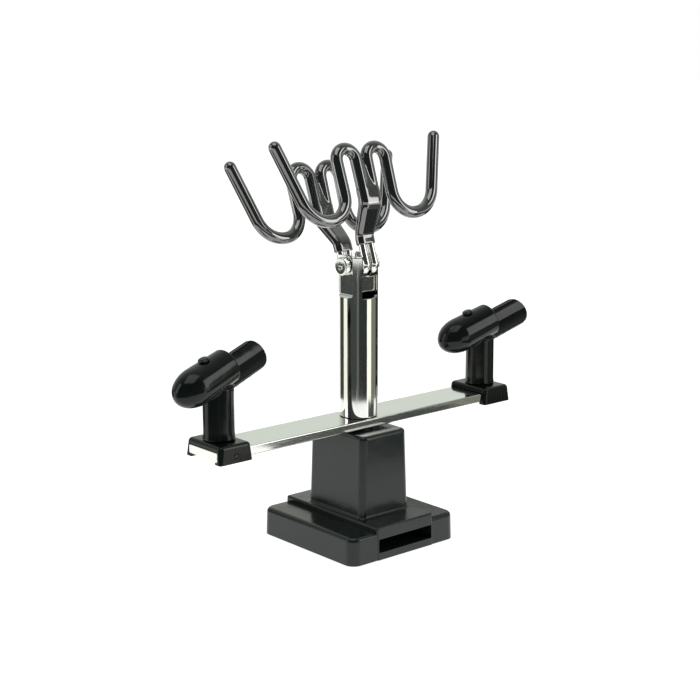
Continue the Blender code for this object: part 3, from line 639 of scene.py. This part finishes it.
def twin_stem(name, face, matrix):
    """Flat stem in which two coated wires are fused; it narrows to the web between the peaks."""
    corners = [
        ((0, face * LEG_Y, COAT_END_Z), 0),
        ((0, face * LEG_Y, 14.6), 8.0),
        ((0, face * HOOK_Y, 30.6), 8.0),
        ((0, face * HOOK_Y, 38.0), 0),
    ]
    stations = []
    for point in rounded_path(corners):
        share = min(max((point.z - 15.0) / 15.0, 0.0), 1.0)
        stations.append((point, *(low + (high - low) * share for low, high in zip(STEM_FOOT, STEM_HEAD))))
    for z, half_width, half_depth in ((44.0, 5.0, 2.7), (51.0, 3.1, 1.9), (WEB_TOP_Z, 1.9, 1.1)):
        stations.append((Vector((0, face * HOOK_Y, z)), half_width, half_depth))
    bm = bmesh.new()
    rings = []
    for index, (point, half_width, half_depth) in enumerate(stations):
        before = stations[max(index - 1, 0)][0]
        after = stations[min(index + 1, len(stations) - 1)][0]
        depth_axis = (after - before).normalized().cross(Vector((1, 0, 0)))
        outline = rounded_outline(half_width, half_depth, half_depth * 0.96, 8)
        ring = []
        for u, v in outline:
            waist = 0.8 * math.exp(-(u / 1.5) ** 2) if half_width > 4.0 else 0.0
            ring.append(point + Vector((u, 0, 0)) + depth_axis * (v - math.copysign(waist, v)))
        rings.append(ring)
    loft(bm, rings)
    return finish_mesh(name, bm, matrix)


def make_hanger():
    place = Matrix.Translation((0, 0, PIVOT_Z * MM)) @ Matrix.Rotation(math.radians(REST_TILT_DEG), 4, "X")
    for label, face in (("front", -1), ("rear", 1)):
        coat = twin_stem(f"{label}_hooks", face, place)
        hooks = [wire_body(f"{label}_hook_{side}", hook_path(side, face), COAT_R, place, True)
                 for side in (-1, 1)]
        combine(coat, hooks, "UNION")
        melt(coat, 0.32, 6)
        sockets = []
        for side in (-1, 1):
            socket = lathe("socket", [(WIRE_R + 0.15, 5.0), (WIRE_R + 0.15, 14.8)],
                           centre=(side * WIRE_HALF_PITCH, face * LEG_Y, 0.0))
            socket.matrix_world = place
            sockets.append(socket)
        combine(coat, sockets, "DIFFERENCE")
        stand_for(coat, f"{label}_hook_coat", COATING, sharp=50.0)
    for label, side in (("left", -1), ("right", 1)):
        x = side * WIRE_HALF_PITCH
        corners = [
            ((x, -LEG_Y, 14.7), 0),
            ((x, -LEG_Y, WIRE_LOW_Z), 4.5),
            ((x, LEG_Y, WIRE_LOW_Z), 4.5),
            ((x, LEG_Y, 14.7), 0),
        ]
        wire = wire_body(f"{label}_wire", rounded_path(corners), WIRE_R, place)
        stand_for(wire, f"hanger_wire_{label}", WIRE_CHROME)


# ---- sliders and holsters --------------------------------------------------

def make_slider(label, turned):
    """Saddle block on the bar; the right one is the same moulding turned round."""
    half_x, half_y = SLIDER_HALF
    foot_z, top_z = BLOCK_LOW.z, BLOCK_HIGH.z
    x = HOLSTER_PLACE[label].x
    place = Matrix.Translation((x * MM, 0, 0)) @ Matrix.Rotation(math.pi if turned else 0.0, 4, "Z")
    levels = [(foot_z, half_x + 0.05, half_y + 0.05, 1.5), (foot_z + 0.3, half_x + 0.28, half_y + 0.28, 1.8)]
    levels += soft_top(0.0, top_z, (0, 0), (2 * half_x - 0.4, 2 * half_y - 0.4), 2.6, 2.2, 10)[1:]
    block = rounded_block(f"saddle_{label}", levels)
    block.matrix_world = place
    half_bar = BAR_HIGH.y + 0.3
    tools = [
        box("bar_way", (-20, -half_bar, BAR_LOW.z - 0.3), (20, half_bar, BAR_HIGH.z + 0.3), bevel=0.3),
        box("lip_way", (-21, -half_bar + 2.3, 60.0), (21, half_bar - 2.3, BAR_LOW.z + 1.0)),
        lathe("screw_way", [(4.4, 71.0), (4.4, 72.8), (2.3, 74.7), (2.3, 78.0)]),
        lathe("brake_way", [(1.5, -17.0), (1.5, -12.0)], axis="Y", centre=(0.0, 0.0, 69.6)),
        box("mould_seam", (2.55, -17.0, 60.0), (2.75, -15.25, top_z - 1.2)),
    ]
    for index in range(7):
        groove_x = (index - 3) * 2.4
        tools.append(box("grip", (groove_x - 0.45, 15.0, 60.0), (groove_x + 0.45, 17.0, 73.2), bevel=0.12))
    for tool in tools:
        tool.matrix_world = place
    combine(block, tools, "DIFFERENCE")
    stand_for(block, f"slider_block_{label}", HOLSTER)

    brake = lathe(f"brake_{label}", [(0.6, -15.5), (1.05, -15.4), (1.2, -15.2), (1.2, -13.1)], axis="Y",
                  centre=(0.0, 0.0, 69.6))
    brake.matrix_world = place
    stand_for(brake, f"slider_brake_{label}", HOUSING)


def sleeve_rings():
    """Rings of the closed sleeve: blunt nose, then a body that narrows slightly to a rounded mouth."""
    body_s = NOSE_S + NOSE_LENGTH
    stations = []
    for angle_deg in range(86, 0, -6):
        angle = math.radians(angle_deg)
        stations.append((body_s - NOSE_LENGTH * math.sin(angle), SLEEVE_R * math.cos(angle)))
    stations.append((body_s, SLEEVE_R))
    lip = 1.0
    for step in range(7):
        angle = math.radians(15.0 * step)
        stations.append((MOUTH_S - lip + lip * math.sin(angle), MOUTH_R + 0.1 - lip * (1 - math.cos(angle))))
    rings = []
    for s, radius in stations:
        ring = []
        for index in range(96):
            angle = 2 * math.pi * index / 96
            ring.append((s, radius * math.cos(angle), radius * math.sin(angle)))
        rings.append(ring)
    return rings


def make_holster(label):
    turn = Matrix.Rotation(math.radians(HOLSTER_TURN_DEG[label]), 4, "Z")
    upright = Matrix.Translation((HOLSTER_PLACE[label].x * MM, 0, 0)) @ turn
    tilted = upright @ Matrix.Translation((0, 0, HOLSTER_AXIS_Z * MM)) @ Matrix.Rotation(
        math.radians(-HOLSTER_TILT_DEG), 4, "Y")
    rolled = tilted @ Matrix.Translation((0, TONGUE_SHIFT[0] * MM, TONGUE_SHIFT[1] * MM)) @ Matrix.Rotation(
        math.radians(TONGUE_ROLL_DEG), 4, "X")

    foot = BLOCK_HIGH.z + 0.3
    profile = [(POST_R - 0.1, foot), (POST_R + 0.3, foot + 0.3), (POST_R + 0.25, foot + 1.0),
               (POST_R + 0.05, foot + 2.6), (POST_R, 80.0), (POST_R - 0.1, POST_TOP - 0.9),
               (POST_R - 0.25, POST_TOP - 0.35), (POST_R - 0.7, POST_TOP), (6.8, POST_TOP + 0.1),
               (6.4, 108.6)]
    holster = lathe(f"tool_holster_{label}", profile, segments=96)
    holster.matrix_world = upright

    bm = bmesh.new()
    loft(bm, sleeve_rings())
    sleeve = finish_mesh("sleeve", bm, tilted)

    bm = bmesh.new()
    rings = []
    for s, scale in ((TONGUE_ROOT_S, 1.0), (TONGUE_TAPER_S, 0.99), (TONGUE_S + 3.0, 0.96)):
        ring = []
        for index in range(49):
            angle = (index / 24 - 1) * math.asin(TONGUE_HALF / TONGUE_ARC_R)
            ring.append((s, scale * TONGUE_ARC_R * math.sin(angle),
                         scale * (TONGUE_ARC_Z - TONGUE_ARC_R * math.cos(angle))))
        rings.append(ring)
    loft(bm, rings)
    tongue = finish_mesh("tongue", bm, rolled)

    bm = bmesh.new()
    tip_length = TONGUE_S - TONGUE_TAPER_S
    outline = [(-40.0, -20.0), (TONGUE_TAPER_S, -9.0)]
    for index in range(1, 36):
        angle = math.radians(-90 + 5 * index)
        outline.append((TONGUE_TAPER_S + tip_length * math.cos(angle), 9.0 * math.sin(angle)))
    outline += [(TONGUE_TAPER_S, 9.0), (-40.0, 20.0)]
    loft(bm, [[(s, w, z) for s, w in outline] for z in (-60.0, 30.0)])
    plan = finish_mesh("plan", bm, rolled)

    bore_profile = [(0, -24.0), (3.4, -23.3), (5.8, -21.2), (HOLSTER_BORE_R - 0.1, -17.5),
                    (HOLSTER_BORE_R, -13.0), (HOLSTER_BORE_R, MOUTH_S + 0.4)]
    bore = lathe("bore", bore_profile, axis="X", segments=96)
    bore.matrix_world = tilted
    trough = lathe("trough", [(TROUGH_ARC_R, MOUTH_S + 0.1), (TROUGH_ARC_R, 50.0)], axis="X",
                   centre=(0.0, 0.0, TONGUE_ARC_Z), segments=144)
    trough.matrix_world = rolled
    button_way = lathe("button_way", [(1.5, 5.0), (1.5, 12.0)], centre=(BUTTON_S, 0.0, 0.0))
    button_way.matrix_world = tilted
    pivot_way = lathe("pivot_way", [(SCREW_R + 0.3, 70.0), (SCREW_R + 0.3, 90.0)])
    pivot_way.matrix_world = upright

    combine(tongue, [plan], "INTERSECT")
    combine(sleeve, [tongue], "UNION")
    combine(holster, [sleeve], "UNION")
    combine(holster, [button_way, pivot_way, bore, trough], "DIFFERENCE")
    melt(holster, 0.24, 3)
    stand_for(holster, f"holster_{label}", HOLSTER)

    seat = BUTTON_SEAT
    cap = [(1.2, 7.5), (1.2, seat), (3.0, seat), (3.2, seat + 0.15), (3.2, seat + 0.5), (3.0, seat + 0.8),
           (2.5, seat + 1.1), (1.9, seat + 1.3), (1.1, seat + 1.4)]
    button = lathe(f"cap_{label}", cap, centre=(BUTTON_S, 0.0, 0.0), segments=48)
    button.matrix_world = tilted
    stand_for(button, f"sleeve_button_{label}", HOUSING)


# ---- studio ----------------------------------------------------------------

CAMERA_AZIMUTH = -41.05
CAMERA_ELEVATION = 11.67
CAMERA_DISTANCE = 0.876
CAMERA_AIM = Vector((0.0, 0.0, 0.120))
CAMERA_LENS = 80.2
CAMERA_SHIFT = (-0.0119, -0.0258)


def direction(azimuth, elevation):
    """Unit vector from the object towards a place; azimuth 0 is the -Y side and 90 the +X side."""
    a, e = math.radians(azimuth), math.radians(elevation)
    return Vector((math.sin(a) * math.cos(e), -math.cos(a) * math.cos(e), math.sin(e)))


def make_camera():
    data = bpy.data.cameras.new("camera")
    data.lens = CAMERA_LENS
    data.sensor_width = 36.0
    data.shift_x, data.shift_y = CAMERA_SHIFT
    data.clip_start = 0.01
    data.clip_end = 50.0
    camera = bpy.data.objects.new("camera", data)
    bpy.context.scene.collection.objects.link(camera)
    back = direction(CAMERA_AZIMUTH, CAMERA_ELEVATION)
    camera.location = CAMERA_AIM + back * CAMERA_DISTANCE
    camera.rotation_mode = "QUATERNION"
    camera.rotation_quaternion = (-back).to_track_quat("-Z", "Y")
    bpy.context.scene.camera = camera


def glow(name, color, strength):
    material = bpy.data.materials.new(name)
    material.use_nodes = True
    nodes = material.node_tree.nodes
    nodes.clear()
    emission = nodes.new("ShaderNodeEmission")
    emission.inputs["Color"].default_value = (*color, 1.0)
    emission.inputs["Strength"].default_value = strength
    output = nodes.new("ShaderNodeOutputMaterial")
    material.node_tree.links.new(emission.outputs["Emission"], output.inputs["Surface"])
    return material


def reflection_card(name, start, end, low, high, radius, color, strength):
    """Upright curved card round the object, seen only in reflections; angles are from the camera's side."""
    bm = bmesh.new()
    steps = max(2, int(abs(end - start) / 4))
    rows = []
    for step in range(steps + 1):
        toward = direction(CAMERA_AZIMUTH + start + (end - start) * step / steps, 0.0) * radius
        rows.append((bm.verts.new((toward.x, toward.y, low)), bm.verts.new((toward.x, toward.y, high))))
    for before, after in zip(rows, rows[1:]):
        bm.faces.new((before[0], after[0], after[1], before[1]))
    mesh = bpy.data.meshes.new(name)
    bm.to_mesh(mesh)
    bm.free()
    mesh.materials.append(glow(name, color, strength))
    card = bpy.data.objects.new(name, mesh)
    bpy.context.scene.collection.objects.link(card)
    card.visible_camera = False
    card.visible_diffuse = False
    card.visible_shadow = False
    card.visible_transmission = False


PATCH_HEIGHT = 0.0008


def floor_patch(name, start, end, inner, outer, color, strength):
    """Dark patch lying on the table beside the object, seen only in reflections."""
    bm = bmesh.new()
    rows = []
    for step in range(13):
        toward = direction(CAMERA_AZIMUTH + start + (end - start) * step / 12, 0.0)
        rows.append([bm.verts.new((toward.x * radius, toward.y * radius, PATCH_HEIGHT))
                     for radius in (inner, outer)])
    for before, after in zip(rows, rows[1:]):
        bm.faces.new((before[0], before[1], after[1], after[0]))
    mesh = bpy.data.meshes.new(name)
    bm.to_mesh(mesh)
    bm.free()
    mesh.materials.append(glow(name, color, strength))
    patch = bpy.data.objects.new(name, mesh)
    bpy.context.scene.collection.objects.link(patch)
    patch.visible_camera = False
    patch.visible_diffuse = False
    patch.visible_shadow = False
    patch.visible_transmission = False


def soft_light(name, azimuth, elevation, distance, size, power, color=(1.0, 1.0, 1.0)):
    data = bpy.data.lights.new(name, "AREA")
    data.shape = "RECTANGLE"
    data.size, data.size_y = size
    data.energy = power
    data.color = color
    light = bpy.data.objects.new(name, data)
    bpy.context.scene.collection.objects.link(light)
    back = direction(azimuth, elevation)
    light.location = Vector((0, 0, 0.1)) + back * distance
    light.rotation_mode = "QUATERNION"
    light.rotation_quaternion = (-back).to_track_quat("-Z", "Y")


def make_floor():
    bm = bmesh.new()
    bmesh.ops.create_circle(bm, cap_ends=True, segments=96, radius=6.0)
    mesh = bpy.data.meshes.new("floor")
    bm.to_mesh(mesh)
    bm.free()
    material = bpy.data.materials.new("pale_table")
    material.use_nodes = True
    nodes = material.node_tree.nodes
    links = material.node_tree.links
    shader = nodes["Principled BSDF"]
    shader.inputs["Roughness"].default_value = 0.6
    texture = nodes.new("ShaderNodeTexNoise")
    texture.inputs["Scale"].default_value = 3.0
    ramp = nodes.new("ShaderNodeMapRange")
    ramp.inputs["To Min"].default_value = 0.34
    ramp.inputs["To Max"].default_value = 0.38
    links.new(texture.outputs["Fac"], ramp.inputs["Value"])
    links.new(ramp.outputs["Result"], shader.inputs["Base Color"])
    shader.inputs["Emission Color"].default_value = (1.0, 1.0, 1.0, 1.0)
    shader.inputs["Emission Strength"].default_value = 0.95
    mesh.materials.append(material)
    floor = bpy.data.objects.new("floor", mesh)
    bpy.context.scene.collection.objects.link(floor)


def make_world():
    """White to the camera; reflected, it is pale behind the object and dim on the camera's side."""
    world = bpy.data.worlds.new("studio")
    bpy.context.scene.world = world
    world.use_nodes = True
    nodes = world.node_tree.nodes
    links = world.node_tree.links
    nodes.clear()
    place = nodes.new("ShaderNodeTexCoord")
    dot = nodes.new("ShaderNodeVectorMath")
    dot.operation = "DOT_PRODUCT"
    behind = -direction(CAMERA_AZIMUTH, 0.0)
    dot.inputs[1].default_value = behind
    links.new(place.outputs["Generated"], dot.inputs[0])
    ramp = nodes.new("ShaderNodeValToRGB")
    ramp.color_ramp.elements[0].position = 0.35
    ramp.color_ramp.elements[0].color = (0.045, 0.050, 0.052, 1.0)
    ramp.color_ramp.elements[1].position = 0.85
    ramp.color_ramp.elements[1].color = (0.72, 0.76, 0.70, 1.0)
    half = nodes.new("ShaderNodeMapRange")
    half.inputs["From Min"].default_value = -1.0
    links.new(dot.outputs["Value"], half.inputs["Value"])
    links.new(half.outputs["Result"], ramp.inputs["Fac"])
    reflected = nodes.new("ShaderNodeBackground")
    links.new(ramp.outputs["Color"], reflected.inputs["Color"])
    reflected.inputs["Strength"].default_value = 1.0
    seen = nodes.new("ShaderNodeBackground")
    seen.inputs["Color"].default_value = (1.0, 1.0, 1.0, 1.0)
    rays = nodes.new("ShaderNodeLightPath")
    mix = nodes.new("ShaderNodeMixShader")
    links.new(rays.outputs["Is Camera Ray"], mix.inputs["Fac"])
    links.new(reflected.outputs["Background"], mix.inputs[1])
    links.new(seen.outputs["Background"], mix.inputs[2])
    output = nodes.new("ShaderNodeOutputWorld")
    links.new(mix.outputs["Shader"], output.inputs["Surface"])


def make_studio():
    make_floor()
    make_world()
    white, cream = (1.0, 1.0, 0.97), (1.0, 0.99, 0.88)
    slate, olive, black = (0.55, 0.62, 0.58), (0.60, 0.60, 0.48), (0.5, 0.55, 0.52)
    cards = (
        ("card_front_dark_1", -68, -9, slate, 0.10),
        ("card_front_streak", -9, 4, slate, 0.22),
        ("card_front_dark_2", 4, 51.7, slate, 0.06),
        ("card_right_box", 51.7, 80, cream, 1.25),
        ("card_right_olive", 80, 120, olive, 0.35),
        ("card_back_dark", 120, 180, black, 0.05),
        ("card_back_light", 180, 228, cream, 1.1),
        ("card_left_dark", 228, 266, slate, 0.10),
        ("card_left_box", 266, 294, cream, 1.1),
    )
    for name, start, end, color, strength in cards:
        reflection_card(name, start, end, 0.0005, 0.11, 0.33, color, strength)
    floor_patch("bar_front_patch", 60, 104, 0.20, 0.327, slate, 0.12)
    soft_light("overhead", -60.0, 72.0, 1.1, (0.9, 0.7), 3.0, white)
    soft_light("left_box", CAMERA_AZIMUTH - 75.0, 18.0, 1.2, (0.35, 1.0), 2.0, white)
    soft_light("right_box", CAMERA_AZIMUTH + 75.0, 18.0, 1.2, (0.35, 1.0), 3.5, white)
    scene = bpy.context.scene
    scene.view_settings.view_transform = "Standard"
    scene.view_settings.look = "None"


# ---- put it together -------------------------------------------------------

make_base()
make_crossbar()
make_tube()
make_clamp_hardware()
make_hanger()
for side_label, side_turned in (("left", False), ("right", True)):
    make_slider(side_label, side_turned)
    make_holster(side_label)

KEPT_NODES = {
    "bottom_cover": COVER, "base_pad": RUBBER, "ballast_left": IRON, "ballast_right": IRON,
    "bar_bolt": ZINC, "bolt_washer": ZINC, "post_plug": ZINC,
    "friction_washer_left": NYLON, "friction_washer_right": NYLON,
    "pivot_screw_left": ZINC, "pivot_screw_right": ZINC,
    "cover_screw_1": ZINC, "cover_screw_2": ZINC, "cover_screw_3": ZINC, "cover_screw_4": ZINC,
}
for kept_name, kept_material in KEPT_NODES.items():
    dress(kept_name, kept_material)

make_studio()
make_camera()

bpy.context.view_layer.update()
